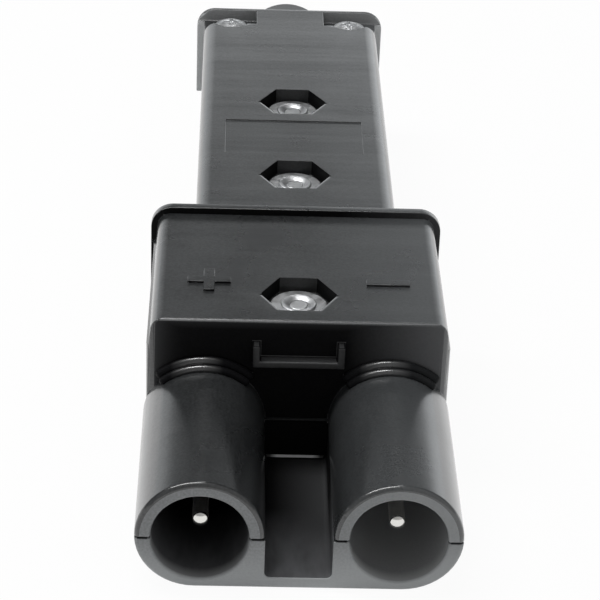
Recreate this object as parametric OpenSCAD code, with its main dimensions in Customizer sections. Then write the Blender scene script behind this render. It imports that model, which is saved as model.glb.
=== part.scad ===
// Two-pole battery charger plug with a black moulded handle made in two halves.
// Each half carries half of two round sockets, and a contact pin stands in each socket.
// X runs across the plug, Y from the socket mouths to the cord neck, Z up. Sizes in mm.

/* [Sockets] */
// Distance between the centres of the two sockets
socket_pitch = 39.2; // [38.8:0.1:39.6]
// Outer radius of a socket tube
tube_r = 12.9; // [12.6:0.1:13.1]
// Inner radius of a socket
bore_r = 9.7; // [9.2:0.1:10.1]
// Length of the socket tubes in front of the body block
tube_l = 44.2; // [40:0.2:50]
// Rounding of the outer edge at the socket mouth
mouth_edge = 1; // [0.6:0.1:1.4]
// Rounding of the inner edge at the socket mouth
lip_r = 0.6; // [0.3:0.1:0.9]
// Width of the gap that is left between the two halves of a tube
parting_gap = 0.3; // [0.1:0.05:0.4]
// Thickness of the web that joins the two tubes along the bottom
web_t = 2.7; // [2.2:0.1:3.4]
// Depth of a socket behind the face of the body block
socket_floor = 3; // [2.4:0.1:3.6]
// Radius of the two rounded beads of the collar at the tube's root
bead_r = 1; // [0.8:0.1:1.1]

/* [Contacts] */
// Radius of a contact pin
pin_r = 1.6; // [1.4:0.1:2.2]
// Distance from the socket mouth to the tip of the pin
pin_recess = 6.1; // [4:0.1:10]
// Radius of the shallow dome at the pin's tip
tip_r = 3.1; // [2.6:0.1:6]
// Radius of the collar that holds the pin in the two halves
pin_collar_r = 3.5; // [3:0.1:4]
// Radius of the wire barrel behind the pin
barrel_r = 3.4; // [3.2:0.1:3.8]
// Length of the wire barrel
barrel_l = 18; // [16:0.5:22]
// Radius of the wire hole in the barrel
wire_r = 2.3; // [1.9:0.1:2.4]

/* [Body] */
// Width of the body block
block_w = 63.8; // [63.4:0.1:64.4]
// Length of the body block with its rear rim
block_l = 49.2; // [46:0.2:56]
// Height of the upper half above the parting plane
upper_h = 23.9; // [23:0.1:26]
// Height of the lower half below the parting plane
lower_h = 11.9; // [11.7:0.1:12.6]
// Wall thickness of both halves
wall = 2.7; // [2.4:0.1:3]
// Rounding of the block's two upright front corners
corner_r = 2.3; // [1.5:0.1:3]
// Height of the rim at the rear of the block above its top
rim_h = 1.5; // [0.8:0.1:2]
// Length of that rim
rim_l = 2.2; // [1.6:0.1:3]
// Amount by which the rim stands out at each side
rim_out = 0.7; // [0.4:0.1:1]
// Height where the block's sides step in, above the parting plane
shoulder_z = 16.8; // [15:0.1:18]
// Rounding of the block's two upper side edges
block_edge = 2.8; // [1.7:0.1:3.2]
// Size of the raised polarity signs
sign_w = 9.2; // [7:0.1:10]
// Width of a stroke of the signs
sign_stroke = 2.3; // [1.6:0.1:2.6]
// Height of the signs above the block's top
sign_h = 0.5; // [0.3:0.1:0.8]

/* [Guide ledge] */
// Width of the U-shaped ledge on the block's face
ledge_w = 19.2; // [17:0.2:20]
// Amount by which the ledge stands out
ledge_out = 2.4; // [1.6:0.1:3]
// Thickness of the ledge's bar and arms
ledge_t = 1.5; // [1.2:0.1:1.8]
// Height of the ledge's bar above the parting plane
ledge_z = 13.9; // [12.5:0.1:14.5]
// Height of the ledge's arms above its bar
ledge_arm = 3.6; // [2.5:0.1:4.2]

/* [Handle] */
// Width of the handle
handle_w = 45.4; // [44.8:0.1:48]
// Length of the handle
handle_l = 116.6; // [114:0.2:124]
// Rounding of the handle's upper edges
handle_r = 3.5; // [2.5:0.1:4.5]
// Amount by which the rear rim stands out at each side
tail_rim_out = 1.95; // [1:0.05:2.5]
// Length of the rear rim
tail_rim_l = 1.6; // [1.2:0.1:2.4]
// Length of the label panel along the handle
label_l = 18; // [14:0.5:20]
// Width of the label panel
label_w = 32.8; // [24:0.2:36]
// Depth of the label panel
label_depth = 0.3; // [0.2:0.1:0.6]

/* [Bolts] */
// Distance from the block's face to the front bolt
bolt_front = 11.7; // [11.2:0.1:13]
// Distance from the block's rear to the middle bolt
bolt_middle = 18.7; // [16:0.1:20]
// Distance between the middle and the rear bolt
bolt_gap = 39.8; // [37:0.2:42]
// Radius of a bolt
bolt_r = 2; // [1.8:0.05:2.1]
// Distance across the flats of the hexagonal pocket round each nut
pocket_flats = 14; // [13:0.1:14.6]
// Depth of that pocket
pocket_depth = 3.7; // [3.3:0.1:4]
// Width of the slope along the pocket's two oblique front edges
pocket_ease = 0.8; // [0.4:0.1:1]
// Outer radius of a washer
washer_r = 6.1; // [5.5:0.1:6.4]
// Thickness of a washer
washer_t = 1; // [0.8:0.1:1.2]
// Outer radius of the round sleeve nut's head
nut_r = 3.8; // [3.4:0.1:4.4]
// Thickness of that head
nut_t = 0.5; // [0.4:0.1:0.8]

/* [Clamp screws] */
// Distance between the two clamp screws
clamp_pitch = 31.2; // [30.8:0.1:31.6]
// Depth of the corner notch that each screw sits in
notch_depth = 3.2; // [2.8:0.1:3.6]
// Radius of a clamp screw's head
clamp_head_r = 4.1; // [3.8:0.1:4.4]
// Height of a clamp screw's head
clamp_head_h = 2.6; // [2.4:0.1:3.2]
// Radius of a clamp screw's shank
clamp_r = 1.9; // [1.7:0.05:2]

/* [Cord neck] */
// Outer radius of the cord neck
neck_r = 11.6; // [11:0.1:11.7]
// Length of the neck behind the handle
neck_l = 34; // [24:0.5:40]
// Radius of the seat for the cord bushing
bushing_r = 8.8; // [8:0.1:9]
// Radius of the hole for the cord
cord_r = 6; // [5:0.1:6.8]

/* [Fits] */
// Clearance round a pin, a bolt or a screw in a moulded hole
hole_clear = 0.2; // [0.1:0.05:0.3]
// Clearance between parts that are seated in each other
seat_clear = 0.05; // [0.03:0.01:0.1]

/* [Hidden] */
$fn = 96;
block_y = tube_l;
block_end = tube_l + block_l;
tail_y = block_end + handle_l;
total_l = tail_y + neck_l;
socket_x = socket_pitch / 2;
floor_y = block_y + socket_floor;
bulkhead_t = 5.8;
bulkhead_y = floor_y + bulkhead_t;
pin_root = 0.3;
pin_root_r = pin_r + 0.8;
collar_y0 = floor_y + 1.6;
collar_y1 = floor_y + 4.2;
barrel_y = bulkhead_y + 1;
wire_depth = barrel_l - 6;
terminal_y = barrel_y + barrel_l - 6;
terminal_r = 1.25;
terminal_head_r = 2.3;
terminal_head_h = 1.6;
slot_w = socket_pitch - 2 * tube_r;
slot_depth = lower_h - web_t;
slot_r = 1.2;
lower_face = block_y - 0.8;
low_bead_r = 0.9 * bead_r;
bead_turn = 40;
bead_end = 0.97;
tongue_w = 1;
tongue_y = 1.5;
shoulder_in = 0.5;
block_lean = 0.9;
rim_r = 5;
low_r = 3;
tail_r = 4.7;
tail_wall = 3.5;
bolt_ys = [block_y + bolt_front, block_end + bolt_middle, block_end + bolt_middle + bolt_gap];
sign_x = socket_x - 0.5;
sign_y = bolt_ys[0] + 4.9;
pocket_r = pocket_flats / sqrt(3);
pocket_floor = upper_h - pocket_depth;
ease_depth = 0.25;
washer_z = pocket_floor + seat_clear;
nut_z = washer_z + washer_t + seat_clear;
nut_dish = 0.6;
nut_dish_r = nut_r - 0.6;
bolt_tip = nut_z + nut_t - nut_dish;
boss_r = 5;
sleeve_r = bolt_r + 0.75;
sleeve_l = 11;
sleeve_hole_r = sleeve_r + hole_clear;
head_r = 2 * bolt_r;
head_h = 2.6;
head_sink = 3.2;
low_boss_r = head_r + 2.2;
notch_floor = upper_h - notch_depth;
notch_x = 8.9;
notch_y0 = tail_y - 10;
notch_y1 = tail_y - 1.2;
clamp_y = tail_y - 7.4;
clamp_relief_r = clamp_head_r + 0.9;
clamp_tip = 3.9 - lower_h;
clamp_z = notch_floor + seat_clear;
clamp_dome = 1.1;
clamp_dome_r = (clamp_head_r * clamp_head_r + clamp_dome * clamp_dome) / (2 * clamp_dome);
rear_room_z = notch_floor - wall - 0.5;
inner_w = handle_w - 2 * wall;
inner_top = upper_h - wall;
inner_low = lower_h - wall;
bushing_y0 = tail_y - tail_wall - seat_clear;
bushing_y1 = total_l - 0.8;
bushing_flange_r = 10.4;
bushing_flange_l = 2.6;

// Puts the plug's middle over the origin and its flat bottom at zero
module place() {
    translate([0, -total_l / 2, lower_h]) children();
}

// Extrudes a shape drawn in X and Z along Y
module along_y(y0, y1) {
    translate([0, y1, 0]) rotate([90, 0, 0]) linear_extrude(y1 - y0) children();
}

// Turns a shape drawn as radius and length about a line along Y
module turned_y() {
    rotate([-90, 0, 0]) rotate_extrude() children();
}

// A rod along Y
module rod(r, y0, y1) {
    translate([0, y0, 0]) rotate([-90, 0, 0]) cylinder(h = y1 - y0, r = r);
}

// Both sides of the plug
module both_sides(x) {
    for (side = [-1, 1]) {
        translate([side * x, 0, 0]) children();
    }
}

// Half outline of given half width and height, with its two far corners rounded
module arch(half_w, high, r, below = 0) {
    translate([-half_w, -below]) square([2 * half_w, high - r + below]);
    translate([r - half_w, -below]) square([2 * (half_w - r), high + below]);
    for (side = [-1, 1]) {
        translate([side * (half_w - r), high - r]) circle(r);
    }
}

// The same outline below the parting plane
module low_arch(half_w, deep, r, above = 0) {
    mirror([0, 1]) arch(half_w, deep, r, above);
}

// Outline of the upper block, its sides stepped in above the shoulder
module block_outline() {
    w = block_w / 2;
    top_x = w - block_lean - block_edge;
    edge_z = upper_h - block_edge;
    side = [[w, 0], [w, shoulder_z], [w - shoulder_in, shoulder_z + shoulder_in], [w - block_lean, edge_z]];
    polygon(concat(side, [for (i = [len(side) - 1 : -1 : 0]) [-side[i][0], side[i][1]]]));
    translate([-top_x, 0]) square([2 * top_x, upper_h]);
    for (x = [-top_x, top_x]) {
        translate([x, edge_z]) circle(block_edge);
    }
}

// The block seen from above, its two front corners rounded
module block_plan(y0) {
    w = block_w / 2;
    translate([-w, y0 + corner_r]) square([2 * w, block_end - y0 - corner_r]);
    translate([corner_r - w, y0]) square([2 * (w - corner_r), corner_r + 1]);
    for (side = [-1, 1]) {
        translate([side * (w - corner_r), y0 + corner_r]) circle(corner_r);
    }
}

// The block seen from the side, the front edge of its top rounded
module block_side() {
    r = 0.7;
    translate([block_y, -1]) square([block_l, upper_h - r + 1]);
    translate([block_y + r, -1]) square([block_l - r, upper_h + 1]);
    translate([block_y + r, upper_h - r]) circle(r);
}

module upper_block() {
    intersection() {
        along_y(block_y, block_end) block_outline();
        linear_extrude(upper_h + 1) block_plan(block_y);
        translate([-block_w, 0, 0]) rotate([90, 0, 90]) linear_extrude(2 * block_w) block_side();
    }
    along_y(block_end - rim_l, block_end) arch(block_w / 2 + rim_out, upper_h + rim_h, rim_r);
}

// Radius and length of a tube, its mouth edge rounded
module tube_profile(r) {
    translate([0, mouth_edge]) square([r, block_y + 1 - mouth_edge]);
    square([r - mouth_edge, block_y]);
    translate([r - mouth_edge, mouth_edge]) circle(mouth_edge);
}

// Half of a socket tube above the parting plane
module upper_tube() {
    intersection() {
        turned_y() tube_profile(tube_r);
        translate([-tube_r - 1, -1, 0]) cube([2 * tube_r + 2, block_y + 4, tube_r + 1]);
    }
}

// Collar of two beads over the root of each tube, with rounded ends
module collars() {
    low = [tube_r + 0.4 * bead_r, block_y - 2.1 * bead_r];
    high = [tube_r + 1.5 * bead_r, block_y - 0.7 * bead_r];
    root = [tube_r - 1, block_y + 0.5];
    fan_z = high[0] + 2 * bead_r;
    fan_x = fan_z * tan(bead_turn);
    both_sides(socket_x) {
        intersection() {
            turned_y() {
                translate(low) circle(low_bead_r);
                translate(high) circle(bead_r);
                polygon([[root[0], low[1]], low, high, [high[0], root[1]], root]);
            }
            along_y(low[1] - bead_r, block_y + 1) polygon([[0, 0], [-fan_x, fan_z], [fan_x, fan_z]]);
        }
        for (turn = [-bead_turn, bead_turn]) {
            rotate([0, turn, 0]) translate([0, low[1], low[0]]) sphere(bead_end * low_bead_r);
            rotate([0, turn, 0]) translate([0, high[1], high[0]]) sphere(bead_end * bead_r);
        }
    }
}

module guide_ledge() {
    depth = ledge_out + 0.5;
    translate([-ledge_w / 2, block_y - ledge_out, ledge_z]) cube([ledge_w, depth, ledge_t]);
    for (x = [-ledge_w / 2, ledge_w / 2 - ledge_t]) {
        translate([x, block_y - ledge_out, ledge_z]) cube([ledge_t, depth, ledge_t + ledge_arm]);
    }
}

// A stroke of a polarity sign
module stroke(w, l) {
    translate([-w / 2, -l / 2, upper_h - 0.5]) cube([w, l, sign_h + 0.5]);
}

module polarity_signs() {
    translate([-sign_x, sign_y, 0]) {
        stroke(sign_w, sign_stroke);
        stroke(sign_stroke, sign_w);
    }
    translate([sign_x, sign_y, 0]) stroke(sign_w, sign_stroke);
}

// Cord neck behind the handle, its end edge rounded
module neck() {
    r = 1;
    translate([0, tail_y - 1, 0]) turned_y() {
        square([neck_r, neck_l + 1 - r]);
        square([neck_r - r, neck_l + 1]);
        translate([neck_r - r, neck_l + 1 - r]) circle(r);
    }
}

module upper_outside() {
    upper_block();
    both_sides(socket_x) upper_tube();
    collars();
    guide_ledge();
    polarity_signs();
    along_y(block_end - 1, tail_y) arch(handle_w / 2, upper_h, handle_r);
    along_y(tail_y - tail_rim_l, tail_y) arch(handle_w / 2 + tail_rim_out, upper_h, tail_r);
    intersection() {
        neck();
        translate([-neck_r - 1, 0, 0]) cube([2 * neck_r + 2, total_l + 1, neck_r + 1]);
    }
}

module upper_room() {
    along_y(bulkhead_y, block_end - wall) arch(block_w / 2 - wall - 0.2, inner_top, 3, 1);
    along_y(block_end - wall - 0.5, notch_y0 - 4) arch(inner_w / 2, inner_top, 2, 1);
    along_y(notch_y0 - 4.5, tail_y - tail_wall) arch(inner_w / 2, rear_room_z, 2, 1);
}

module upper_bosses() {
    for (y = bolt_ys) {
        translate([0, y, 0]) cylinder(h = inner_top + 1, r = boss_r);
        translate([0, y, pocket_floor - wall]) cylinder(h = pocket_depth, r = pocket_r + 1.6);
    }
    both_sides(clamp_pitch / 2) {
        translate([0, clamp_y, 0]) cylinder(h = rear_room_z + 1, r = clamp_r + 2.7);
    }
}

// Hole along a contact pin with a groove for the pin's collar
module pin_seat() {
    rod(pin_root_r + hole_clear, floor_y - 1, bulkhead_y + 1);
    rod(pin_collar_r + seat_clear, collar_y0, collar_y1);
}

// Radius and length of a socket, its mouth edge rounded
module bore_profile() {
    translate([0, -1]) square([bore_r, floor_y + 1]);
    difference() {
        translate([0, -1]) square([bore_r + lip_r, lip_r + 1]);
        translate([bore_r + lip_r, lip_r]) circle(lip_r);
    }
}

module sockets() {
    both_sides(socket_x) {
        turned_y() bore_profile();
        pin_seat();
    }
}

// Hexagonal nut pocket, its two oblique front edges eased by a shallow slope
module nut_pocket() {
    flat = pocket_flats / 2;
    half_l = pocket_r / 2 - 0.3;
    translate([0, 0, pocket_floor]) cylinder(h = pocket_depth + 1, r = pocket_r, $fn = 6);
    for (turn = [-30, 210]) {
        rotate(turn) along_y(-half_l, half_l) translate([flat, upper_h]) {
            polygon([[-pocket_ease, -2 * ease_depth], [pocket_ease, 0], [pocket_ease, 1], [-pocket_ease, 1]]);
        }
    }
}

module upper_holes() {
    sockets();
    for (y = bolt_ys) {
        translate([0, y, -1]) cylinder(h = upper_h, r = sleeve_hole_r);
        translate([0, y, 0]) nut_pocket();
    }
    label_y = (bolt_ys[1] + bolt_ys[2] - label_l) / 2;
    translate([-label_w / 2, label_y, upper_h - label_depth]) cube([label_w, label_l, 1]);
    for (side = [-1, 1]) {
        x = side > 0 ? notch_x : -notch_x - handle_w;
        translate([x, notch_y0, notch_floor]) cube([handle_w, notch_y1 - notch_y0, notch_depth + 1]);
    }
    both_sides(clamp_pitch / 2) {
        translate([0, clamp_y, notch_floor]) cylinder(h = notch_depth + 1, r = clamp_relief_r);
        translate([0, clamp_y, -1]) cylinder(h = upper_h, r = clamp_r + hole_clear);
    }
    rod(bushing_r, tail_y - tail_wall - 1, total_l + 1);
}

module upper_shell() {
    color("#2c2d2f") place() difference() {
        union() {
            difference() {
                upper_outside();
                upper_room();
            }
            upper_bosses();
        }
        upper_holes();
    }
}

// Lower half of both tubes: two round flanks and a flat bottom, with a slot between them
module lower_tubes() {
    flank_x = socket_x + tube_r - lower_h;
    high = lower_h - parting_gap;
    difference() {
        union() {
            intersection() {
                both_sides(flank_x) turned_y() tube_profile(lower_h);
                translate([-block_w, -1, -lower_h - 1]) cube([2 * block_w, block_y + 4, high + 1]);
            }
            intersection() {
                translate([-flank_x, 0, 0]) rotate([0, 90, 0]) linear_extrude(2 * flank_x) {
                    tube_profile(lower_h);
                }
                translate([-block_w, -1, -lower_h - 1]) cube([2 * block_w, block_y + 4, high + 1]);
            }
        }
        along_y(-1, lower_face) low_arch(slot_w / 2, slot_depth, slot_r, 1);
    }
}

// Low ribs that close the gap between the halves of the tubes behind the mouths
module seam_tongues() {
    both_sides(socket_x) both_sides((bore_r + tube_r) / 2) {
        along_y(tongue_y, lower_face + 0.5) translate([-tongue_w / 2, -1]) square([tongue_w, 1]);
    }
}

// Small fillet where the slot's floor meets the face of the lower half
module slot_fillet() {
    r = 0.8;
    translate([-slot_w / 2, lower_face, -slot_depth]) rotate([90, 0, 90]) {
        linear_extrude(slot_w) difference() {
            translate([-r, -0.2]) square(r + 0.2);
            translate([-r, r]) circle(r);
        }
    }
}

module lower_outside() {
    lower_tubes();
    seam_tongues();
    slot_fillet();
    intersection() {
        along_y(lower_face, block_end) low_arch(block_w / 2, lower_h, low_r);
        translate([0, 0, -lower_h - 1]) linear_extrude(lower_h + 1) block_plan(lower_face);
    }
    along_y(block_end - 1, tail_y) low_arch(handle_w / 2, lower_h, handle_r);
    intersection() {
        neck();
        translate([-neck_r - 1, 0, -neck_r - 1]) cube([2 * neck_r + 2, total_l + 1, neck_r + 1]);
    }
}

module lower_room() {
    along_y(bulkhead_y, block_end - wall) low_arch(block_w / 2 - wall - 0.2, inner_low, 2, 1);
    along_y(block_end - wall - 0.5, tail_y - tail_wall) low_arch(inner_w / 2, inner_low, 2, 1);
}

module lower_bosses() {
    for (y = bolt_ys) {
        translate([0, y, -lower_h]) cylinder(h = lower_h, r = low_boss_r);
    }
    both_sides(clamp_pitch / 2) {
        translate([0, clamp_y, -inner_low - 1]) cylinder(h = inner_low + 1, r = clamp_r + 2.3);
    }
}

module lower_holes() {
    sockets();
    for (y = bolt_ys) {
        translate([0, y, -lower_h - 1]) cylinder(h = lower_h + 2, r = bolt_r + hole_clear);
        translate([0, y, -lower_h - 1]) cylinder(h = head_sink + 1, r = head_r + 0.5);
    }
    both_sides(clamp_pitch / 2) {
        translate([0, clamp_y, clamp_tip - 0.5]) cylinder(h = lower_h, r = clamp_r + seat_clear);
    }
    rod(bushing_r, tail_y - tail_wall - 1, total_l + 1);
    rod(bushing_flange_r + seat_clear, bushing_y0 - bushing_flange_l - hole_clear, tail_y - tail_wall);
}

module lower_shell() {
    color("#2c2d2f") place() difference() {
        union() {
            difference() {
                lower_outside();
                lower_room();
            }
            lower_bosses();
        }
        lower_holes();
    }
}

// Contact pin with a domed tip, a collar held by the halves and a barrel for the wire
module contact() {
    difference() {
        union() {
            intersection() {
                rod(pin_r, pin_recess, pin_recess + tip_r);
                translate([0, pin_recess + tip_r, 0]) sphere(tip_r);
            }
            rod(pin_r, pin_recess + tip_r / 2, floor_y);
            rod(pin_root_r, floor_y - pin_root, barrel_y + 0.5);
            rod(pin_collar_r, collar_y0 + seat_clear, collar_y1 - seat_clear);
            rod(barrel_r, barrel_y, barrel_y + barrel_l);
        }
        rod(wire_r, barrel_y + barrel_l - wire_depth, barrel_y + barrel_l + 1);
        translate([0, terminal_y, 0]) cylinder(h = barrel_r + 1, r = terminal_r + seat_clear);
    }
}

module positive_pin() {
    color("#d8d4c8") place() translate([-socket_x, 0, 0]) contact();
}

module negative_pin() {
    color("#d8d4c8") place() translate([socket_x, 0, 0]) contact();
}

// Round head with its upper edge rounded
module round_head(r, h, edge) {
    rotate_extrude() {
        square([r, h - edge]);
        square([r - edge, h]);
        translate([r - edge, h - edge]) circle(edge);
    }
}

// Small slotted screw that would press the wire in each barrel
module terminal_screws() {
    seat = barrel_r + seat_clear;
    color("#c9b26a") place() both_sides(socket_x) translate([0, terminal_y, 0]) difference() {
        union() {
            translate([0, 0, wire_r - 0.8]) cylinder(h = seat - wire_r + 1, r = terminal_r);
            translate([0, 0, seat]) round_head(terminal_head_r, terminal_head_h, 0.4);
        }
        translate([-terminal_head_r, -0.3, seat + terminal_head_h - 0.7]) {
            cube([2 * terminal_head_r, 0.6, 1]);
        }
    }
}

// Bolt with a round head sunk in the bottom, pointing up
module body_bolts() {
    color("#b9bcc0") place() for (y = bolt_ys) {
        seat = head_sink - lower_h - seat_clear;
        translate([0, y, 0]) difference() {
            union() {
                translate([0, 0, seat - 0.5]) round_head(bolt_r, bolt_tip - seat + 0.5, 0.3);
                translate([0, 0, seat]) mirror([0, 0, 1]) round_head(head_r, head_h, 0.6);
            }
            for (turn = [0, 90]) {
                rotate(turn) translate([-2.2, -0.45, seat - head_h - 1]) cube([4.4, 0.9, 2.2]);
            }
        }
    }
}

module body_washers() {
    color("#c4c7ca") place() for (y = bolt_ys) {
        translate([0, y, washer_z]) difference() {
            round_head(washer_r, washer_t, 0.25);
            translate([0, 0, -1]) cylinder(h = washer_t + 2, r = sleeve_hole_r);
        }
    }
}

// Low round nut with a dished face and a sleeve that reaches down round the bolt's end
module body_nuts() {
    color("#c4c7ca") place() for (y = bolt_ys) {
        translate([0, y, nut_z]) difference() {
            union() {
                round_head(nut_r, nut_t, 0.25);
                translate([0, 0, -sleeve_l]) cylinder(h = sleeve_l + 0.5, r = sleeve_r);
            }
            translate([0, 0, -sleeve_l - 1]) cylinder(h = sleeve_l + nut_t + 2, r = bolt_r + seat_clear);
            rotate_extrude() polygon([[0, nut_t - nut_dish], [bolt_r, nut_t - nut_dish],
                                      [nut_dish_r, nut_t], [nut_dish_r, nut_t + 1], [0, nut_t + 1]]);
        }
    }
}

// Cross-recessed screw that draws the halves together beside the cord
module clamp_screws() {
    color("#b9bcc0") place() both_sides(clamp_pitch / 2) translate([0, clamp_y, 0]) difference() {
        union() {
            translate([0, 0, clamp_tip]) cylinder(h = clamp_z - clamp_tip + 0.5, r = clamp_r);
            translate([0, 0, clamp_z]) intersection() {
                cylinder(h = clamp_head_h, r = clamp_head_r);
                translate([0, 0, clamp_head_h - clamp_dome_r]) sphere(clamp_dome_r);
            }
        }
        for (turn = [0, 90]) {
            rotate(turn) translate([-2.2, -0.45, clamp_z + clamp_head_h - 1.1]) cube([4.4, 0.9, 2]);
        }
    }
}

// Rubber bushing in the neck, with a flange behind the rear wall
module cord_bushing() {
    color("#1d1d1e") place() difference() {
        union() {
            rod(bushing_r - seat_clear, bushing_y0 - 1, bushing_y1);
            rod(bushing_flange_r, bushing_y0 - bushing_flange_l, bushing_y0);
        }
        rod(cord_r, bushing_y0 - bushing_flange_l - 1, total_l + 1);
    }
}

upper_shell();
lower_shell();
positive_pin();
negative_pin();
terminal_screws();
body_bolts();
body_washers();
body_nuts();
clamp_screws();
cord_bushing();
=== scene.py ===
"""Two-pole battery charger plug: finish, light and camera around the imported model. Metres."""

import math
from collections import namedtuple

import bpy
from mathutils import Matrix, Vector


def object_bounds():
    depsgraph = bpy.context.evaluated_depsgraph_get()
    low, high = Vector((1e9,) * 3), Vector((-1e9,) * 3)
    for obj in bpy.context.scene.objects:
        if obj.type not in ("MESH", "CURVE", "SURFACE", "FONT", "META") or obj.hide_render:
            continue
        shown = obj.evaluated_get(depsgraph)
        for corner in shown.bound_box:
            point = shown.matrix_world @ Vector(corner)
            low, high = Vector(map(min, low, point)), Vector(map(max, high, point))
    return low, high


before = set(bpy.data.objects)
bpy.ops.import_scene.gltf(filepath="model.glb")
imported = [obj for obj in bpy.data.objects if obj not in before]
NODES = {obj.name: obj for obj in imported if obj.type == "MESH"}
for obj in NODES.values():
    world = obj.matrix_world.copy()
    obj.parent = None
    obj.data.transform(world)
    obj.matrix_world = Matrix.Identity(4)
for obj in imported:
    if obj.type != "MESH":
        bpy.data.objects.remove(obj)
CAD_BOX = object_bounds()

MM = 0.001
FAR = 1

# Camera, fitted to the photograph
CAMERA_PLACE = Vector((-0.01553, -0.50468, 0.28466))
CAMERA_YAW = 0.03595
CAMERA_PITCH = 0.51842
CAMERA_ROLL = 0.03937
CAMERA_NEAR = 0.01
FRAME_PX = 600
FOCAL_PX = 2384.3
SENSOR_MM = 36

# Places on the part that the finishes follow
MOUTH_Y = CAD_BOX[0].y
PARTING_Z = 11.9 * MM
SOCKET_X = 19.6 * MM
BORE_R = 9.7 * MM
TUBE_R = 12.9 * MM
LIP_R = 0.6 * MM
PIN_TIP_Y = (MOUTH_Y + 6.5 * MM, MOUTH_Y + 6.5 * MM + 0.8 * MM)
SLOT_HALF = 6.75 * MM
SLOT_LOW = 2.5 * MM
SLOT_END = MOUTH_Y + 43.4 * MM
BLOCK_FACE = MOUTH_Y + 44.2 * MM
RIM_FACE = MOUTH_Y + 91.2 * MM
TAIL_FACE = MOUTH_Y + 208.4 * MM
NECK_Y = (TAIL_FACE + 1.8 * MM, FAR)
TOP_Z = 35.8 * MM
LEDGE_X = (-9.7 * MM, 9.7 * MM)
LEDGE_LOW = 25.7 * MM
LEDGE_BAR = (LEDGE_LOW, 28.2 * MM)
HANDLE_X = (-22.7 * MM, 22.7 * MM)
POCKET_FLOOR = 32.1 * MM
POCKET_REACH = 7.3 * MM
POCKET_CORNER = POCKET_REACH * 1.16
BOLT_YS = (MOUTH_Y + 55.9 * MM, MOUTH_Y + 112.1 * MM, MOUTH_Y + 151.9 * MM)
COLLAR_XS = ((-32 * MM, -9.8 * MM), (9.8 * MM, 32 * MM))
COLLAR_Y = (BLOCK_FACE - 3.5 * MM, BLOCK_FACE + 0.1 * MM)
COLLAR_Z = (PARTING_Z + 7 * MM, PARTING_Z + 17 * MM)
SIGN_XS = ((-25 * MM, -12 * MM), (12 * MM, 25 * MM))
SIGN_Y = (MOUTH_Y + 56 * MM, MOUTH_Y + 66 * MM)
LABEL_X = (-17 * MM, 17 * MM)
LABEL_Y = (MOUTH_Y + 122.5 * MM, MOUTH_Y + 141.5 * MM)
MITRE_X = (28.1 * MM, 29.4 * MM)

# Ranges of a part of a face's normal
FORWARD = (-1.1, -0.8)
FLAT_FORWARD = (-1.1, -0.97)
SQUARE_FORWARD = (-1.1, -0.9995)
SLANTED_FORWARD = (-0.95, -0.2)
SLANTED_UP = (0.2, 0.95)
FLAT_UP = (0.97, 1.1)
UPRIGHT = (-0.3, 0.3)

# Colours of the plastic: dark and light in its mottle, and the tone painted towards the right as
# light from that side
SATIN = ((0.009, 0.0096, 0.01), (0.041, 0.0434, 0.0449), (0.072, 0.0765, 0.0795))
# Painted shade: the matt faces are near black where they face the front or lie in recesses
MATT = ((0.002, 0.002, 0.0022), (0.005, 0.005, 0.0055), (0.055, 0.056, 0.058))
# Painted shade: the collars are darker than the satin plastic
SHADED_COLLAR = ((0.004, 0.004, 0.0045), (0.007, 0.007, 0.008), (0.02, 0.021, 0.022))
# Painted light: the right socket's inside is pale grey, paler deeper in and at its lip
LIT_BORE = ((0.115, 0.117, 0.119), (0.14, 0.143, 0.146), (0.29, 0.295, 0.3))
LIT_BORE_END = (0.45, 0.457, 0.462)
LIT_BORE_LIP = (0.42, 0.427, 0.432)
# Painted sheen at the left socket's lip
MATT_LIP_SHEEN = (0.3, 0.305, 0.31)
# Painted light on the matt faces near the mouths
MOUTH_LIGHT_GREY = (0.11, 0.112, 0.117)
# Paler tone of the slot's floor
SLOT_FLOOR_PALE = (0.038, 0.0388, 0.04)
# Painted light at the ends and the top of the block's front
FRONT_LIGHT_GREY = (0.2, 0.203, 0.21)
BLACK = (0.004, 0.004, 0.0045)

# Pale grey plastics, most of them painted light, the mouths also paler from rubbing: dark, light
# and how far it reaches from the middle
WORN_AND_LIT_PLASTICS = {
    # Mouth faces, lips and the slot's front edge: paler from rubbing, and paler still as painted
    # light from the floor in front
    "mouth": ((0.15, 0.156, 0.16), (0.26, 0.27, 0.275)),
    # Painted highlight along the block's front top edge
    "top_edge_highlight": ((0.12, 0.123, 0.125), (0.18, 0.184, 0.187)),
    # Painted light on the tail's front faces within the handle's width
    "tail_middle_light": ((0.21, 0.215, 0.218), (0.27, 0.276, 0.28)),
    # Painted highlight on the slot's end wall, black beyond its reach
    "slot_end_highlight": ((0.42, 0.427, 0.434), (0.52, 0.528, 0.535), 5.4 * MM),
    # Painted light on the tail's front faces
    "pale": ((0.5, 0.515, 0.52), (0.6, 0.615, 0.62)),
    # Painted light on the neck
    "neck": ((0.085, 0.088, 0.09), (0.13, 0.134, 0.137)),
    # Painted highlight along the ledge's front edge
    "edge": ((0.035, 0.036, 0.037), (0.055, 0.0566, 0.0583)),
    # Painted light on the ledge and the pockets' back walls
    "dull": ((0.014, 0.0144, 0.0148), (0.027, 0.0278, 0.0286)),
}
PALE_GLOSS = (0.4, 0.5)
PALE_GRAIN = 0.06 * MM

# Colours and roughness of the metals, and the colours of the contacts and the rubber
ZINC = ((0.74, 0.75, 0.76), 0.42)
BRIGHT_ZINC = ((0.8, 0.81, 0.82), 0.42)
BRASS = ((0.75, 0.56, 0.26), 0.25)
NICKEL = ((0.68, 0.67, 0.64), (0.8, 0.79, 0.76))
PIN_ROUGHNESS = (0.12, 0.5)
RUBBER = ((0.012, 0.012, 0.012), (0.02, 0.02, 0.02))
RUBBER_ROUGHNESS = (0.6, 0.75)

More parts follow.
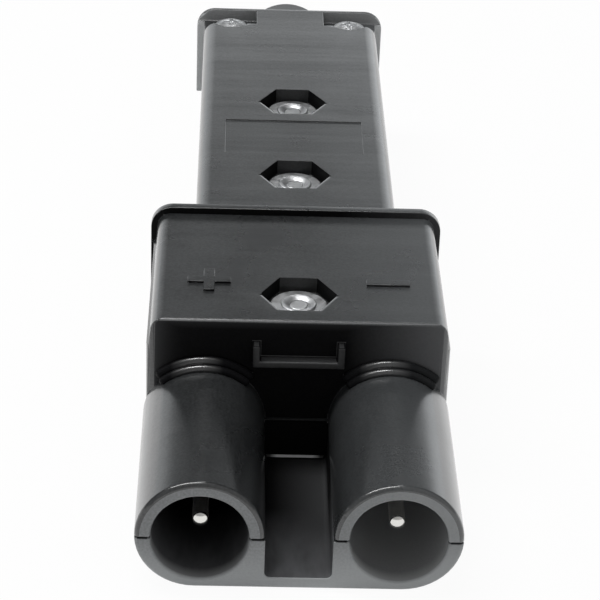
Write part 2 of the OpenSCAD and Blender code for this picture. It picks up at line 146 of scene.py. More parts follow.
# Noises: scale, detail and stretch along the axes, and the band of their values that is used
GRAIN = (1500, 3.0)
MOTTLE = (2000, 2.0)
CLOUDS = (60, 4.0)
FLOW = (90, 3.0, (0.08, 1, 0.08))
MOUTH_LIGHT_NOISE = (350, 4.0, (1, 0.35, 1))
SMEARS = (700, 3.0)
SCRATCHES = (3000, 2.0, (1, 0.15, 1))
NOISE_BAND = (0.3, 0.7)
MOUTH_LIGHT_BAND = (0.25, 0.65)

# Gloss of the plastic, and where its painted light, painted shade and paler tones fall
PLASTIC_IOR = 1.5
POLISHED_IOR = 2.1
RIGHT_LIGHT_TO = 30 * MM
MOUTH_LIGHT_REACH = 24 * MM
BORE_LIGHT_REACH = 30 * MM
LIP_SHEEN = (MOUTH_Y + 3.5 * MM, MOUTH_Y + 0.6 * MM)
SHINE_XS = (-21.2 * MM, 18.2 * MM)
SHINE_REACH = (1 * MM, 5.5 * MM)
SHINE_TINTS = ((0.02, 0.02, 0.02), (1, 1, 1))
SHINE_ROUGHNESS = (0.6, 0.24)
SLOT_SIDE = (7.5 * MM, 8.5 * MM)
SLOT_PALE_X = (-5 * MM, 6 * MM)
SLOT_PALE_Y = (SLOT_END - 1 * MM, SLOT_END - 0.5 * MM)
SLOT_PALE_Z = (SLOT_LOW + 0.5 * MM, SLOT_LOW + 1.5 * MM)

# Painted light on the block's front, paler towards its ends and its top: where it grows, how strong
# it gets and how it curves
FRONT_Y = (BLOCK_FACE + 1 * MM, BLOCK_FACE + 2 * MM)
LEFT_END_X = (-22 * MM, -33 * MM)
LEFT_LIGHT = 0.84
LEFT_CURVE = 3
RIGHT_END_X = (8 * MM, 33 * MM)
RIGHT_LIGHT = 0.77
RIGHT_CURVE = 1.7
TOP_END_Z = (TOP_Z - 2.2 * MM, TOP_Z)
TOP_LIGHT = 0.12

# Edge rounding
SHARP_ANGLE = 55
CREASE_ANGLE = 50
WELD = 0.002 * MM
FLOOR_EDGE = 0.9 * MM
EDGE_MARK = "bevel_weight_edge"
FULL_EDGE = 1.0
FINE_EDGE = 0.3
NO_EDGE = 0.0
SHELL_ROUNDING = 0.25 * MM
PIN_ROUNDING = 0.12 * MM
FASTENER_ROUNDING = 0.08 * MM
BUSHING_ROUNDING = 0.3 * MM

# Studio: brightness of the backdrop by the sine of its height, of the front and of the two sides
BACKDROP = (
    (0.0, 1.0), (0.32, 0.9), (0.38, 0.62), (0.42, 0.26), (0.46, 0.09), (0.52, 0.05), (0.9, 0.05))
BACKDROP_TINT = (0.97, 1, 1.02)
BACKDROP_SLOPE = 0.6
SLOPE_FROM = 0.25
BACKDROP_Y = (-0.1, 0.4)
FRONT_LEVEL = 0.32
SIDE_X = (-0.6, 0.6)
SIDE_LEVELS = (1.0, 1.5)
WHITE = (1, 1, 1, 1)
FLOOR_COLOUR = (0.9, 0.9, 0.9, 1)
FLOOR_REACH = 6.0
FLOOR_Z = -0.05 * MM
FLOOR_WHITE = 0.95

Plastic = namedtuple("Plastic", "material tree shader coords place colour")


def around(centre, reach):
    """The limits of a range by its centre."""
    return centre - reach, centre + reach


def add_node(tree, kind, **values):
    """A node with its plain settings and the values of its sockets."""
    node = tree.nodes.new(kind)
    for name, value in values.items():
        if hasattr(node, name):
            setattr(node, name, value)
        else:
            node.inputs[name.replace("_", " ")].default_value = value
    return node


def new_material(name, **shader_values):
    """A material with one Principled shader; returns the material, its tree and its shader."""
    material = bpy.data.materials.new(name)
    material.use_nodes = True
    tree = material.node_tree
    shader = tree.nodes["Principled BSDF"]
    for socket, value in shader_values.items():
        shader.inputs[socket.replace("_", " ")].default_value = value
    return material, tree, shader


def own_coords(tree):
    """The object's own coordinates, as one vector socket."""
    return add_node(tree, "ShaderNodeTexCoord").outputs["Object"]


def parts_of(tree, vector):
    """The three numbers of a vector socket."""
    node = add_node(tree, "ShaderNodeSeparateXYZ")
    tree.links.new(vector, node.inputs["Vector"])
    return node.outputs


def noise(tree, coords, scale, detail, stretch=(1, 1, 1)):
    """A noise texture, stretched along the axes."""
    mapping = add_node(tree, "ShaderNodeMapping")
    mapping.inputs["Scale"].default_value = stretch
    texture = add_node(tree, "ShaderNodeTexNoise", Scale=scale, Detail=detail)
    tree.links.new(coords, mapping.inputs["Vector"])
    tree.links.new(mapping.outputs["Vector"], texture.inputs["Vector"])
    return texture.outputs["Fac"]


def remap(tree, value, low, high, to_low, to_high):
    """Maps a range of values onto another one, clamped."""
    node = add_node(tree, "ShaderNodeMapRange", From_Min=low, From_Max=high,
                    To_Min=to_low, To_Max=to_high)
    tree.links.new(value, node.inputs["Value"])
    return node.outputs["Result"]


def mix_colour(tree, factor, first, second):
    """Mixes two colours, each a socket or three numbers, by a factor socket."""
    node = tree.nodes.new("ShaderNodeMix")
    node.data_type = "RGBA"
    colour_inputs = [socket for socket in node.inputs if socket.type == "RGBA"]
    tree.links.new(factor, node.inputs[0])
    for socket, colour in zip(colour_inputs, (first, second)):
        if isinstance(colour, tuple):
            socket.default_value = colour + (1,)
        else:
            tree.links.new(colour, socket)
    return [socket for socket in node.outputs if socket.type == "RGBA"][0]


def math_node(tree, operation, first, second):
    """A math node on two sockets or numbers."""
    node = add_node(tree, "ShaderNodeMath", operation=operation)
    for socket, value in zip(node.inputs, (first, second)):
        if isinstance(value, (int, float)):
            socket.default_value = value
        else:
            tree.links.new(value, socket)
    return node.outputs["Value"]


def multiply(tree, first, second):
    """The product of two sockets or numbers."""
    return math_node(tree, "MULTIPLY", first, second)


def maximum(tree, first, second):
    """The larger of two sockets or numbers."""
    return math_node(tree, "MAXIMUM", first, second)


def bump(tree, shader, *layers):
    """Chains bump layers, each a height socket with its strength and its depth in metres."""
    last = None
    for height, strength, depth in layers:
        node = add_node(tree, "ShaderNodeBump", Strength=strength, Distance=depth)
        tree.links.new(height, node.inputs["Height"])
        if last:
            tree.links.new(last, node.inputs["Normal"])
        last = node.outputs["Normal"]
    for socket in ("Normal", "Coat Normal"):
        tree.links.new(last, shader.inputs[socket])


def plastic_finish(name, dark, light, lighter, grain_depth, gloss=None, right_light_from=2 * MM,
                   **shader_values):
    """Moulded plastic: mottled colour, fine grain, faint flow lines and a tone painted paler
    towards the right as light from that side.
    """
    shader_values.setdefault("IOR", PLASTIC_IOR)
    material, tree, shader = new_material(name, **shader_values)
    coords = own_coords(tree)
    place = parts_of(tree, coords)
    grain = noise(tree, coords, *GRAIN)
    mottle = noise(tree, coords, *MOTTLE)
    clouds = noise(tree, coords, *CLOUDS)
    flow = noise(tree, coords, *FLOW)
    shade = math_node(tree, "ADD", remap(tree, mottle, *NOISE_BAND, 0, 0.7),
                      remap(tree, clouds, *NOISE_BAND, 0, 0.3))
    colour = mix_colour(tree, shade, dark, light)
    # Painted light: the colour grows paler towards the right, as if lit from that side.
    side = remap(tree, place["X"], right_light_from, RIGHT_LIGHT_TO, 0, 1)
    right_light = multiply(tree, side, remap(tree, mottle, *NOISE_BAND, 0.75, 1))
    colour = mix_colour(tree, right_light, colour, lighter)
    if gloss:
        tree.links.new(remap(tree, clouds, *NOISE_BAND, *gloss), shader.inputs["Roughness"])
    bump(tree, shader, (grain, 0.35, grain_depth), (flow, 0.3, 0.3 * MM))
    return Plastic(material, tree, shader, coords, place, colour)


def black_plastic():
    """Satin outside of the housing."""
    satin = plastic_finish("black_plastic", *SATIN, grain_depth=0.03 * MM, gloss=(0.26, 0.32),
                           Coat_Weight=0.8, Coat_Roughness=0.16, Coat_IOR=PLASTIC_IOR)
    satin.tree.links.new(satin.colour, satin.shader.inputs["Base Color"])
    return satin.material


def matt_plastic():
    """Matt faces, near black as painted shade, with painted light near the mouths, a painted sheen
    at the lips, a paler slot floor and painted light at the ends of the block's front.
    """
    matt = plastic_finish("matt_plastic", *MATT, grain_depth=0.05 * MM, gloss=(0.55, 0.65),
                          right_light_from=10 * MM, Specular_IOR_Level=0.08)
    tree = matt.tree
    x, y, z = matt.place

    # Painted light: a patchy paler tone on the matt faces near the mouths.
    near = remap(tree, y, MOUTH_Y + MOUTH_LIGHT_REACH, MOUTH_Y, 0, 1)
    light_patches = remap(tree, noise(tree, matt.coords, *MOUTH_LIGHT_NOISE), *MOUTH_LIGHT_BAND, 0.6, 1)
    colour = mix_colour(tree, multiply(tree, near, light_patches), matt.colour, MOUTH_LIGHT_GREY)

    # Painted sheen: paler towards the lip of the left socket, but not in the slot.
    in_slot = remap(tree, math_node(tree, "ABSOLUTE", x, 0), *SLOT_SIDE, 1, 0)
    lip = math_node(tree, "SUBTRACT", remap(tree, y, *LIP_SHEEN, 0, 1), in_slot)
    colour = mix_colour(tree, maximum(tree, lip, 0), colour, MATT_LIP_SHEEN)

    # The slot's floor grows paler away from the mouths and towards its right.
    low = remap(tree, z, *SLOT_PALE_Z, 1, 0)
    floor = multiply(tree, low, remap(tree, y, *SLOT_PALE_Y, 1, 0))
    floor = multiply(tree, floor, math_node(tree, "SUBTRACT", in_slot, near))
    paler_floor = multiply(tree, floor, remap(tree, x, *SLOT_PALE_X, 0, 1))
    colour = mix_colour(tree, maximum(tree, paler_floor, 0), colour, SLOT_FLOOR_PALE)

    # Painted light: the front faces grow paler towards both ends and the top.
    left = math_node(tree, "POWER", remap(tree, x, *LEFT_END_X, 0, LEFT_LIGHT), LEFT_CURVE)
    right = math_node(tree, "POWER", remap(tree, x, *RIGHT_END_X, 0, RIGHT_LIGHT), RIGHT_CURVE)
    high = remap(tree, z, *TOP_END_Z, 0, TOP_LIGHT)
    front = remap(tree, y, *FRONT_Y, 1, 0)
    edge = multiply(tree, front, maximum(tree, maximum(tree, left, right), high))
    tree.links.new(mix_colour(tree, edge, colour, FRONT_LIGHT_GREY), matt.shader.inputs["Base Color"])
    return matt.material


def gloss_plastic():
    """Black plastic of the collars, darker as painted shade; reflective round the lamp's highlight
    on top, its reflection tinted down towards their ends as painted shade, where it also grows
    rougher.
    """
    gloss = plastic_finish("gloss_plastic", *SHADED_COLLAR, grain_depth=0.005 * MM, IOR=POLISHED_IOR)
    tree, shader = gloss.tree, gloss.shader
    # Painted shade: the reflection fades out away from the highlight on top of each collar.
    offsets = [math_node(tree, "SUBTRACT", gloss.place["X"], x) for x in SHINE_XS]
    left, right = [math_node(tree, "ABSOLUTE", offset, 0) for offset in offsets]
    shine = remap(tree, math_node(tree, "MINIMUM", left, right), *SHINE_REACH, 1, 0)
    tree.links.new(gloss.colour, shader.inputs["Base Color"])
    tree.links.new(mix_colour(tree, shine, *SHINE_TINTS), shader.inputs["Specular Tint"])
    tree.links.new(remap(tree, shine, 0, 1, *SHINE_ROUGHNESS), shader.inputs["Roughness"])
    return gloss.material


def worn_and_lit_plastic(name, dark, light, reach=None):
    """Pale grey plastic, mostly painted light, paler still towards the bottom.

    With a reach, it turns black farther from the middle than that.
    """
    lighter = plastic_finish(name, dark, light, light, PALE_GRAIN, PALE_GLOSS)
    tree = lighter.tree
    low = remap(tree, lighter.place["Z"], PARTING_Z, 0, 0, 0.8)
    colour = mix_colour(tree, low, lighter.colour, tuple(1.7 * c for c in light))
    if reach:
        aside = math_node(tree, "ABSOLUTE", lighter.place["X"], 0)
        colour = mix_colour(tree, remap(tree, aside, 0.7 * reach, reach, 0, 1), colour, BLACK)
    tree.links.new(colour, lighter.shader.inputs["Base Color"])
    return lighter.material


def bore_plastic():
    """Painted light in the right socket: pale grey, paler towards its end, its outer side and its
    lip.
    """
    bore = plastic_finish("bore_plastic", *LIT_BORE, PALE_GRAIN, PALE_GLOSS, right_light_from=8 * MM)
    tree, y = bore.tree, bore.place["Y"]
    depth = remap(tree, y, MOUTH_Y, MOUTH_Y + BORE_LIGHT_REACH, 0, 1)
    colour = mix_colour(tree, depth, bore.colour, LIT_BORE_END)
    colour = mix_colour(tree, remap(tree, y, *LIP_SHEEN, 0, 1), colour, LIT_BORE_LIP)
    tree.links.new(colour, bore.shader.inputs["Base Color"])
    return bore.material


def plated_metal(name, colour, roughness):
    """Plated metal with small smears in its gloss and a fine scratch pattern."""
    material, tree, shader = new_material(name, Metallic=1.0)
    coords = own_coords(tree)
    smears = noise(tree, coords, *SMEARS)
    scratches = noise(tree, coords, *SCRATCHES)
    smeared = mix_colour(tree, smears, tuple(0.82 * c for c in colour), colour)
    rough = remap(tree, smears, *NOISE_BAND, 0.8 * roughness, 1.25 * roughness)
    tree.links.new(smeared, shader.inputs["Base Color"])
    tree.links.new(rough, shader.inputs["Roughness"])
    bump(tree, shader, (scratches, 0.15, 0.02 * MM))
    return material


def contact_plating():
    """Bright nickel on the pins' tips, dull behind them."""
    material, tree, shader = new_material("contact_plating", Metallic=1.0)
    coords = own_coords(tree)
    smears = noise(tree, coords, *SMEARS)
    scratches = noise(tree, coords, *SCRATCHES)
    slot_end_highlight = remap(tree, parts_of(tree, coords)["Y"], *PIN_TIP_Y, *PIN_ROUGHNESS)
    rough = multiply(tree, slot_end_highlight, remap(tree, smears, *NOISE_BAND, 0.85, 1.2))
    tree.links.new(mix_colour(tree, smears, *NICKEL), shader.inputs["Base Color"])
    tree.links.new(rough, shader.inputs["Roughness"])
    bump(tree, shader, (scratches, 0.1, 0.01 * MM))
    return material


def black_rubber():
    """Matt rubber with a fine grain."""
    material, tree, shader = new_material("black_rubber", IOR=PLASTIC_IOR)
    grain = noise(tree, own_coords(tree), *GRAIN)
    rough = remap(tree, grain, *NOISE_BAND, *RUBBER_ROUGHNESS)
    tree.links.new(mix_colour(tree, grain, *RUBBER), shader.inputs["Base Color"])
    tree.links.new(rough, shader.inputs["Roughness"])
    bump(tree, shader, (grain, 0.3, 0.05 * MM))
    return material


def geometry_tree(name):
    """An empty geometry node group; returns it with its first and its last geometry socket."""
    tree = bpy.data.node_groups.new(name, "GeometryNodeTree")
    for way in ("INPUT", "OUTPUT"):
        tree.interface.new_socket("Geometry", in_out=way, socket_type="NodeSocketGeometry")
    first = tree.nodes.new("NodeGroupInput").outputs[0]
    last = tree.nodes.new("NodeGroupOutput").inputs[0]
    return tree, first, last


def chain(tree, first, last, nodes):
    """Links nodes in a row by their geometry sockets."""
    for node in nodes:
        way_in = "Geometry" if "Geometry" in node.inputs else "Mesh"
        tree.links.new(first, node.inputs[way_in])
        first = node.outputs[0]
    tree.links.new(first, last)


def position(tree):
    """The three coordinates of an element."""
    return parts_of(tree, add_node(tree, "GeometryNodeInputPosition").outputs[0])


def compare(tree, value, operation, limit):
    """A true value where a number is greater or less than a limit."""
    node = add_node(tree, "FunctionNodeCompare", data_type="FLOAT", operation=operation)
    node.inputs[1].default_value = limit
    tree.links.new(value, node.inputs[0])
    return node.outputs[0]


def all_true(tree, first, *others):
    """A true value where all the given ones are true."""
    for other in others:
        node = add_node(tree, "FunctionNodeBooleanMath", operation="AND")
        tree.links.new(first, node.inputs[0])
        tree.links.new(other, node.inputs[1])
        first = node.outputs[0]
    return first


def in_zone(tree, measures, limits):
    """A true value where each measure that has limits lies between them."""
    inside = []
    for name, (low, high) in limits.items():
        inside.append(compare(tree, measures[name], "GREATER_THAN", low))
        inside.append(compare(tree, measures[name], "LESS_THAN", high))
    return all_true(tree, *inside)


def steeper_than(tree, degrees):
    """A true value on the edges that turn by more than an angle."""
    angle = add_node(tree, "GeometryNodeInputMeshEdgeAngle").outputs["Unsigned Angle"]
    return compare(tree, angle, "GREATER_THAN", math.radians(degrees))


def edge_weight(tree, select, weight):
    """Stores a bevel weight on the selected edges."""
    store = add_node(tree, "GeometryNodeStoreNamedAttribute", data_type="FLOAT", domain="EDGE",
                     Name=EDGE_MARK)
    store.inputs["Value"].default_value = weight
    tree.links.new(select, store.inputs["Selection"])
    return store


def sharp_edge_marks():
    """Joins the seams of a CAD mesh and marks its sharp edges for the bevel.

    Those on the floor, at the collars and at the rim's foot are left out, and those of the signs,
    the label panel and the pockets are rounded less.
    """
    tree, first, last = geometry_tree("sharp_edge_marks")
    x, y, z = position(tree)
    measures = {"x": x, "y": y, "z": z}
    above_floor = in_zone(tree, measures, {"z": (FLOOR_EDGE, FAR)})
    sharp = all_true(tree, steeper_than(tree, SHARP_ANGLE), above_floor)
    weld = add_node(tree, "GeometryNodeMergeByDistance", Distance=WELD)
    marks = [weld, edge_weight(tree, sharp, FULL_EDGE)]

    relief = (TOP_Z - 0.6 * MM, TOP_Z + 0.8 * MM)
    zones = [(FINE_EDGE, {"x": side, "y": SIGN_Y, "z": relief}) for side in SIGN_XS]
    zones.append((FINE_EDGE, {"x": LABEL_X, "y": LABEL_Y, "z": relief}))
    for bolt_y in BOLT_YS:
        pocket = {"x": around(0, 10 * MM), "y": around(bolt_y, 9 * MM), "z": relief}
        zones.append((FINE_EDGE, pocket))
    for side in COLLAR_XS:
        zones.append((NO_EDGE, {"x": side, "y": COLLAR_Y, "z": COLLAR_Z}))
    rim_foot = {"x": around(0, 33 * MM), "y": around(RIM_FACE, 0.2 * MM),
                "z": around(TOP_Z, 0.4 * MM)}
    zones.append((NO_EDGE, rim_foot))
    for weight, limits in zones:
        select = all_true(tree, sharp, in_zone(tree, measures, limits))
        marks.append(edge_weight(tree, select, weight))
    chain(tree, first, last, marks)
    return tree


def crease(tree, select):
    """Keeps the selected edges sharp in the shading."""
    node = add_node(tree, "GeometryNodeSetShadeSmooth", domain="EDGE", Shade_Smooth=False)
    tree.links.new(select, node.inputs["Selection"])
    return node


def smooth_shading():
    """Smooth shading, but for the sharpest edges and the mitres at the block's front corners."""
    tree, first, last = geometry_tree("smooth_shading")
    clear = add_node(tree, "GeometryNodeRemoveAttribute", Name="custom_normal")
    smooth = add_node(tree, "GeometryNodeSetShadeSmooth", domain="FACE")
    creased = crease(tree, steeper_than(tree, CREASE_ANGLE))
    x, y, z = position(tree)
    measures = {"aside": math_node(tree, "ABSOLUTE", x, 0), "y": y, "z": z}
    mitres = {"aside": MITRE_X, "y": (BLOCK_FACE, BLOCK_FACE + 0.8 * MM),
              "z": (TOP_Z - 0.35 * MM, TOP_Z + 0.1 * MM)}
    mitred = crease(tree, in_zone(tree, measures, mitres))
    chain(tree, first, last, (clear, smooth, creased, mitred))
    return tree


def socket_distance(tree, x, z, side):
    """Distance from the axis of a socket."""
    x = math_node(tree, "SUBTRACT", x, side * SOCKET_X)
    z = math_node(tree, "SUBTRACT", z, PARTING_Z)
    squares = math_node(tree, "ADD", multiply(tree, x, x), multiply(tree, z, z))
    return math_node(tree, "SQRT", squares, 0)


def finish_zones():
    """The faces of the housing that have their own finish: its name and the limits of the zone."""
    bore = (0, BORE_R + 0.1 * MM)
    bore_y = (MOUTH_Y + LIP_R, BLOCK_FACE + 4 * MM)
    lip = (0, BORE_R + LIP_R + 0.02 * MM)
    mouth_y = (MOUTH_Y - 1 * MM, MOUTH_Y + LIP_R)
    bottom_lip_y = (MOUTH_Y - 1 * MM, MOUTH_Y + 0.98 * MM)
    below_gap = (-1 * MM, PARTING_Z - 0.35 * MM)
    slot_x = around(0, SLOT_HALF)
    slot_y = (MOUTH_Y + 1 * MM, BLOCK_FACE + 1 * MM)
    slot_lip = {"x": slot_x, "y": (MOUTH_Y + 0.02 * MM, MOUTH_Y + LIP_R),
                "z": (SLOT_LOW - 0.2 * MM, SLOT_LOW + 0.4 * MM)}
    slot_end = {"x": around(0, 5.5 * MM), "y": (SLOT_END - 0.9 * MM, SLOT_END + 0.1 * MM),
                "z": (SLOT_LOW + 0.35 * MM, SLOT_LOW + 0.8 * MM)}
    beyond = (TUBE_R + 0.03 * MM, FAR)
    block_y = (BLOCK_FACE - 1.2 * MM, BLOCK_FACE + 0.6 * MM)
    front_y = (BLOCK_FACE - 3.4 * MM, BLOCK_FACE - 0.03 * MM)
    collar_z = (PARTING_Z + 1 * MM, TOP_Z)
    ledge_edge_y = (BLOCK_FACE - 3.4 * MM, BLOCK_FACE - 0.6 * MM)
    seam_y = around(BLOCK_FACE, 0.4 * MM)
    ledge_z = (LEDGE_LOW, TOP_Z)
    ledge_front_z = (LEDGE_LOW, TOP_Z - 3 * MM)
    ledge_top_z = (LEDGE_LOW, TOP_Z - 1 * MM)
    top_edge = {"x": around(0, 26 * MM), "y": (BLOCK_FACE + 0.02 * MM, BLOCK_FACE + 0.3 * MM),
                "z": (TOP_Z - 0.3 * MM, TOP_Z + 0.1 * MM)}
    sign_z = (TOP_Z + 0.02 * MM, TOP_Z + 1 * MM)
    tail_y = (TAIL_FACE - 0.3 * MM, TAIL_FACE + 0.6 * MM)
    zones = [
        # Painted shade: near-black matt on the block's front, the rim's front, the signs' fronts,
        # the slot and the left socket
        ("matt", {"y": block_y, "facing_y": FLAT_FORWARD}),
        ("matt", {"y": around(RIM_FACE, 0.3 * MM), "facing_y": FORWARD}),
        ("matt", {"y": SIGN_Y, "z": sign_z, "facing_y": FORWARD}),
        ("matt", {"x": slot_x, "y": slot_y, "z": (SLOT_LOW, PARTING_Z)}),
        ("matt", {"left": bore, "y": bore_y}),
        # Painted highlight on the slot's end wall
        ("slot_end_highlight", slot_end),
        # Painted light in the right socket
        ("bore", {"right": bore, "y": bore_y}),
        # Painted shade on the collars, with their reflection kept only round the top highlight
        ("gloss", {"y": front_y, "z": collar_z, "left": beyond, "right": beyond}),
        # Painted shade on the ledge and its seam; painted light on its front and top faces
        ("matt", {"x": LEDGE_X, "y": front_y, "z": ledge_z}),
        ("matt", {"x": LEDGE_X, "y": seam_y, "z": ledge_top_z}),
        ("dull", {"x": LEDGE_X, "y": front_y, "z": ledge_front_z, "facing_y": FORWARD}),
        ("dull", {"x": LEDGE_X, "y": front_y, "z": ledge_top_z, "facing_z": FLAT_UP}),
        # Painted highlight on the ledge's front edge
        ("edge", {"x": LEDGE_X, "y": ledge_edge_y, "z": LEDGE_BAR,
                  "facing_y": SLANTED_FORWARD, "facing_z": SLANTED_UP}),
        # Mouth faces, lips and the slot's front edge: paler from rubbing and as painted light
        ("mouth", {"y": mouth_y, "facing_y": SQUARE_FORWARD}),
        ("mouth", {"y": bottom_lip_y, "z": below_gap}),
        ("mouth", {"y": mouth_y, "left": lip}),
        ("mouth", {"y": mouth_y, "right": lip}),
        ("mouth", slot_lip),
        # Painted highlight along the block's front top edge
        ("top_edge_highlight", top_edge),
        # Painted light on the neck
        ("neck", {"y": NECK_Y}),
        # Painted light on the tail's front faces
        ("pale", {"y": tail_y, "facing_y": FORWARD}),
        ("tail_middle_light", {"x": HANDLE_X, "y": tail_y, "facing_y": FORWARD}),
    ]
    pocket_z = (POCKET_FLOOR, TOP_Z)
    for bolt_y in BOLT_YS:
        walls = {"x": around(0, POCKET_CORNER), "y": around(bolt_y, POCKET_REACH), "z": pocket_z}
        back = {"x": around(0, POCKET_REACH), "y": (bolt_y, bolt_y + POCKET_REACH), "z": pocket_z}
        # Painted shade on the pockets' side walls, painted light on their back walls
        zones.append(("matt", walls | {"facing_z": UPRIGHT}))
        zones.append(("dull", back | {"facing_y": FORWARD}))
    return zones


def shell_finishes(finishes):
    """Gives the faces of the housing their matt, glossy and pale grey finishes zone by zone, with
    painted light and shade among them.
    """
    tree, first, last = geometry_tree("shell_finishes")
    x, y, z = position(tree)
    normal = parts_of(tree, add_node(tree, "GeometryNodeInputNormal").outputs[0])
    measures = {"x": x, "y": y, "z": z, "facing_y": normal["Y"], "facing_z": normal["Z"],
                "left": socket_distance(tree, x, z, -1), "right": socket_distance(tree, x, z, 1)}
    steps = []
    for name, limits in finish_zones():
        step = add_node(tree, "GeometryNodeSetMaterial")
        step.inputs["Material"].default_value = finishes[name]
        tree.links.new(in_zone(tree, measures, limits), step.inputs["Selection"])
        steps.append(step)
    chain(tree, first, last, steps)
    return tree


def dress(node, material, edge, marks, shading, finishes=None):
    """Gives a CAD node its material, rounds its edges by modifiers and smooths its shading."""
    obj = NODES[node]
    obj.data.materials.clear()
    obj.data.materials.append(material)
    obj.modifiers.new("marks", "NODES").node_group = marks
    rounding = obj.modifiers.new("edges", "BEVEL")
    rounding.width = edge
    rounding.segments = 2
    rounding.limit_method = "WEIGHT"
    rounding.edge_weight = EDGE_MARK
    rounding.use_clamp_overlap = False
    rounding.loop_slide = False
    obj.modifiers.new("shading", "NODES").node_group = shading
    if finishes:
        obj.modifiers.new("finishes", "NODES").node_group = finishes
    obj.modifiers.new("normals", "WEIGHTED_NORMAL").keep_sharp = True


def dress_all():
    """Each CAD node gets its finish and its edge rounding."""
    groups = (sharp_edge_marks(), smooth_shading())
    finishes = {"matt": matt_plastic(), "gloss": gloss_plastic(), "bore": bore_plastic()}
    for name, values in WORN_AND_LIT_PLASTICS.items():
        finishes[name] = worn_and_lit_plastic(name + "_plastic", *values)
    zones = shell_finishes(finishes)
    plastic = black_plastic()
    nickel = contact_plating()
    zinc = plated_metal("zinc_steel", *ZINC)
    bright_zinc = plated_metal("bright_zinc", *BRIGHT_ZINC)
    brass = plated_metal("brass", *BRASS)
    for node in ("upper_shell", "lower_shell"):
        dress(node, plastic, SHELL_ROUNDING, *groups, zones)
    for node in ("positive_pin", "negative_pin"):
        dress(node, nickel, PIN_ROUNDING, *groups)
    for node in ("body_bolts", "body_washers", "body_nuts"):
        dress(node, zinc, FASTENER_ROUNDING, *groups)
    dress("clamp_screws", bright_zinc, FASTENER_ROUNDING, *groups)
    dress("terminal_screws", brass, FASTENER_ROUNDING, *groups)
    dress("cord_bushing", black_rubber(), BUSHING_ROUNDING, *groups)


def make_camera():
    """The photograph's camera."""
    forward = Vector((math.sin(CAMERA_YAW) * math.cos(CAMERA_PITCH),
                      math.cos(CAMERA_YAW) * math.cos(CAMERA_PITCH),
                      -math.sin(CAMERA_PITCH)))
    level = Vector((math.cos(CAMERA_YAW), -math.sin(CAMERA_YAW), 0))
    upright = level.cross(forward)
    right = level * math.cos(CAMERA_ROLL) + upright * math.sin(CAMERA_ROLL)
    up = upright * math.cos(CAMERA_ROLL) - level * math.sin(CAMERA_ROLL)
    data = bpy.data.cameras.new("camera")
    data.sensor_width = SENSOR_MM
    data.lens = FOCAL_PX / FRAME_PX * SENSOR_MM
    data.clip_start = CAMERA_NEAR
    camera = bpy.data.objects.new("camera", data)
    turn = Matrix((right, up, -forward)).transposed().to_4x4()
    camera.matrix_world = Matrix.Translation(CAMERA_PLACE) @ turn
    bpy.context.scene.collection.objects.link(camera)
    bpy.context.scene.camera = camera


def seen_as_white(tree, lit):
    """The camera and reflections see plain white, with a share of the lit floor for the shadow."""
    rays = add_node(tree, "ShaderNodeLightPath")
    white = add_node(tree, "ShaderNodeEmission", Color=WHITE, Strength=1.0)
    mix = add_node(tree, "ShaderNodeMixShader")
    camera = multiply(tree, rays.outputs["Is Camera Ray"], FLOOR_WHITE)
    tree.links.new(maximum(tree, camera, rays.outputs["Is Glossy Ray"]), mix.inputs[0])
    tree.links.new(lit, mix.inputs[1])
    tree.links.new(white.outputs[0], mix.inputs[2])
    return mix.outputs[0]


def make_floor():
    """A pale floor far larger than the view, open from below."""
    mesh = bpy.data.meshes.new("floor")
    corners = [(FLOOR_REACH * x, FLOOR_REACH * y, FLOOR_Z)
               for x, y in ((-1, -1), (1, -1), (1, 1), (-1, 1))]
    mesh.from_pydata(corners, [], [(0, 1, 2, 3)])
    floor = bpy.data.objects.new("floor", mesh)
    bpy.context.scene.collection.objects.link(floor)
    material, tree, shader = new_material("floor", Base_Color=FLOOR_COLOUR, Roughness=0.9)
    below = add_node(tree, "ShaderNodeNewGeometry").outputs["Backfacing"]
    side = add_node(tree, "ShaderNodeMixShader")
    tree.links.new(below, side.inputs[0])
    tree.links.new(seen_as_white(tree, shader.outputs[0]), side.inputs[1])
    tree.links.new(add_node(tree, "ShaderNodeBsdfTransparent").outputs[0], side.inputs[2])
    tree.links.new(side.outputs[0], tree.nodes["Material Output"].inputs["Surface"])
    mesh.materials.append(material)


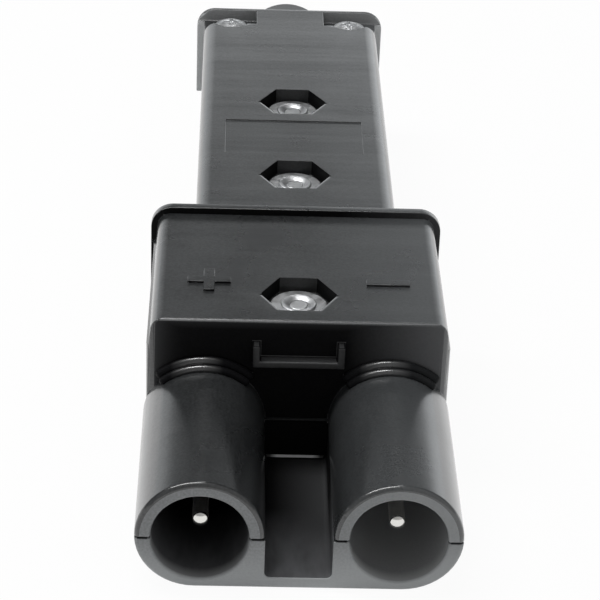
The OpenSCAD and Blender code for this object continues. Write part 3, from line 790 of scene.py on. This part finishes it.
def make_world():
    """Studio surround: a backdrop that fades upwards, a dim front and a brighter right side.

    The camera sees it as plain white.
    """
    world = bpy.data.worlds.new("studio")
    bpy.context.scene.world = world
    world.use_nodes = True
    tree = world.node_tree
    background = tree.nodes["Background"]
    direction = add_node(tree, "ShaderNodeTexCoord").outputs["Generated"]
    x, y, z = parts_of(tree, direction)

    ramp = add_node(tree, "ShaderNodeValToRGB")
    stops = ramp.color_ramp.elements
    stops.remove(stops[1])
    for n, (height, level) in enumerate(BACKDROP):
        stop = stops.new(height) if n else stops[0]
        stop.position = height
        stop.color = tuple(tint * level for tint in BACKDROP_TINT) + (1,)
    aside = math_node(tree, "SUBTRACT", math_node(tree, "ABSOLUTE", x, 0), SLOPE_FROM)
    slope = multiply(tree, maximum(tree, aside, 0), BACKDROP_SLOPE)
    tree.links.new(math_node(tree, "ADD", z, slope), ramp.inputs["Fac"])
    behind = remap(tree, y, *BACKDROP_Y, 0, 1)
    surround = mix_colour(tree, behind, (FRONT_LEVEL,) * 3, ramp.outputs["Color"])
    tree.links.new(surround, background.inputs["Color"])
    tree.links.new(remap(tree, x, *SIDE_X, *SIDE_LEVELS), background.inputs["Strength"])

    white = add_node(tree, "ShaderNodeBackground", Color=WHITE, Strength=1.0)
    seen = add_node(tree, "ShaderNodeMixShader")
    camera = add_node(tree, "ShaderNodeLightPath").outputs["Is Camera Ray"]
    tree.links.new(camera, seen.inputs[0])
    tree.links.new(background.outputs[0], seen.inputs[1])
    tree.links.new(white.outputs[0], seen.inputs[2])
    tree.links.new(seen.outputs[0], tree.nodes["World Output"].inputs["Surface"])


def add_lamp(name, place, target, width, depth, power):
    """A rectangular soft light aimed at a point."""
    data = bpy.data.lights.new(name, "AREA")
    data.shape = "RECTANGLE"
    data.size = width
    data.size_y = depth
    data.energy = power
    lamp = bpy.data.objects.new(name, data)
    lamp.location = place
    aim = Vector(target) - Vector(place)
    lamp.rotation_euler = aim.to_track_quat("-Z", "Y").to_euler()
    bpy.context.scene.collection.objects.link(lamp)


bpy.context.scene.view_settings.view_transform = "Standard"
make_camera()
make_world()
make_floor()
add_lamp("overhead", place=(-0.36, 0.05, 0.93), target=(0, 0, 0), width=0.25, depth=0.8, power=7)
add_lamp("kicker", place=(0.1, 2.6, 3.15), target=(0, 0.09, 0), width=0.46, depth=0.46, power=5.8)
dress_all()
